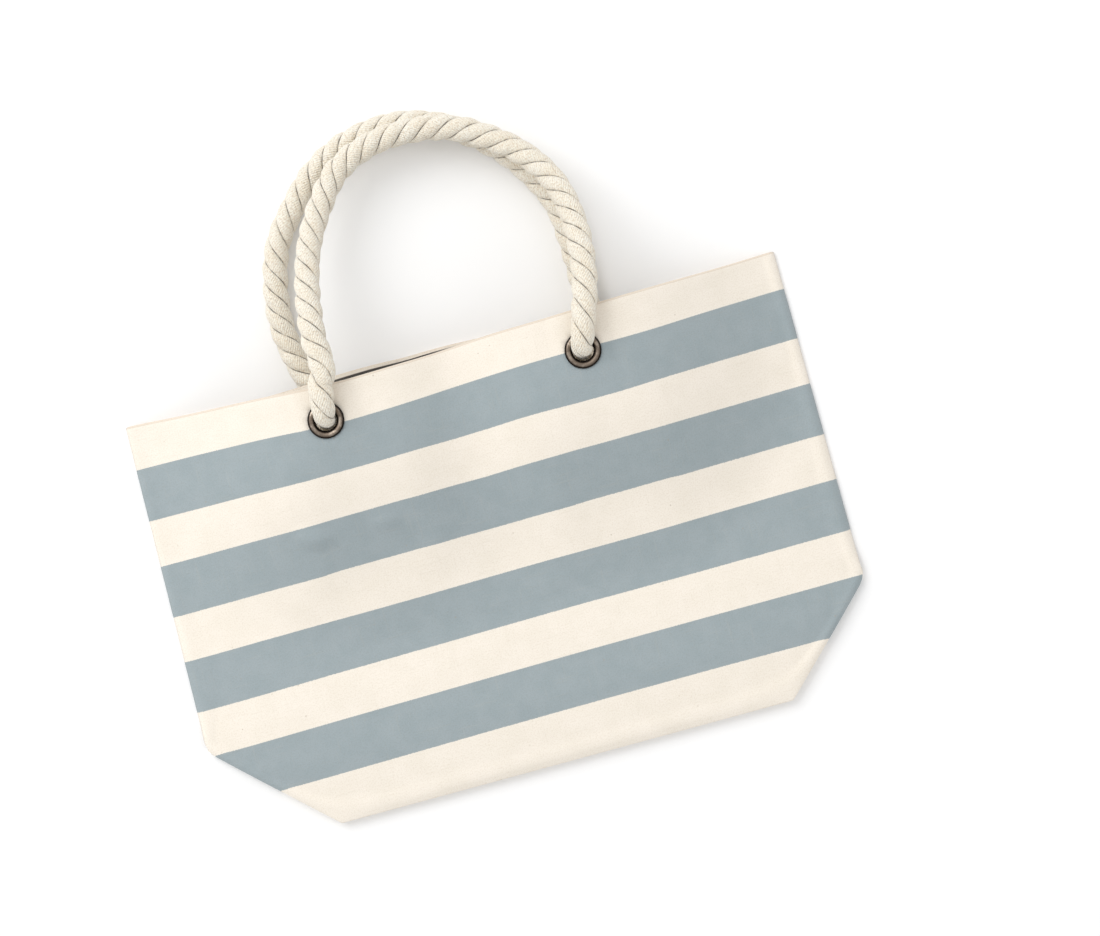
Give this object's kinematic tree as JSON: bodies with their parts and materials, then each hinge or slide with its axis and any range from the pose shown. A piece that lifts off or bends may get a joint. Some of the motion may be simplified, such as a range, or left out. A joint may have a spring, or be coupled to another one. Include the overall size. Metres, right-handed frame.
{
  "type": "beach bag",
  "caption": "Wide canvas tote with horizontal stripes, a fold-in base and two rope handles knotted through metal eyelets, lying flat on its back.",
  "frame": {"origin": "middle of the back panel, on its outer face, which is the face the bag lies on", "axes": "+X along the bag's width to the right as seen from the front panel, +Y from the base towards the mouth and the handles, +Z out of the front panel, up as the bag lies"},
  "size_m": [0.549, 0.5411, 0.0942],
  "materials": {
    "striped_canvas": "plain-weave cotton canvas, grey-blue printed stripes on natural",
    "natural_canvas": "plain-weave natural cotton canvas",
    "cotton_tape": "woven cotton tape",
    "antique_brass": "dark antique plating, satin with worn edges",
    "cotton_rope": "three-strand laid cotton rope",
    "waxed_thread": "waxed cotton thread"
  },
  "bodies": {
    "bag": {"back_base_half": "natural_canvas", "back_hem": "natural_canvas", "back_left_eyelet": "antique_brass", "back_left_knot": "cotton_rope", "back_left_washer": "antique_brass", "back_left_whipping": "waxed_thread", "back_panel": "striped_canvas", "back_right_eyelet": "antique_brass", "back_right_knot": "cotton_rope", "back_right_washer": "antique_brass", "back_right_whipping": "waxed_thread", "base_seam_binding": "cotton_tape", "front_base_half": "natural_canvas", "front_hem": "natural_canvas", "front_left_eyelet": "antique_brass", "front_left_knot": "cotton_rope", "front_left_washer": "antique_brass", "front_left_whipping": "waxed_thread", "front_panel": "striped_canvas", "front_right_eyelet": "antique_brass", "front_right_knot": "cotton_rope", "front_right_washer": "antique_brass", "front_right_whipping": "waxed_thread", "left_corner_binding": "cotton_tape", "left_side_binding": "cotton_tape", "right_corner_binding": "cotton_tape", "right_side_binding": "cotton_tape"},
    "front_handle": {"front_rope": "cotton_rope"},
    "back_handle": {"back_rope": "cotton_rope"}
  },
  "joints": [
    {"name": "front_handle_swing", "type": "hinge", "parent": "bag", "child": "front_handle", "pos_m": [0, 0.138, 0.0835], "axis": [1, 0, 0], "range_deg": [0, 180]},
    {"name": "back_handle_swing", "type": "hinge", "parent": "bag", "child": "back_handle", "pos_m": [0, 0.138, 0.0105], "axis": [-1, 0, 0], "range_deg": [0, 150]}
  ]
}
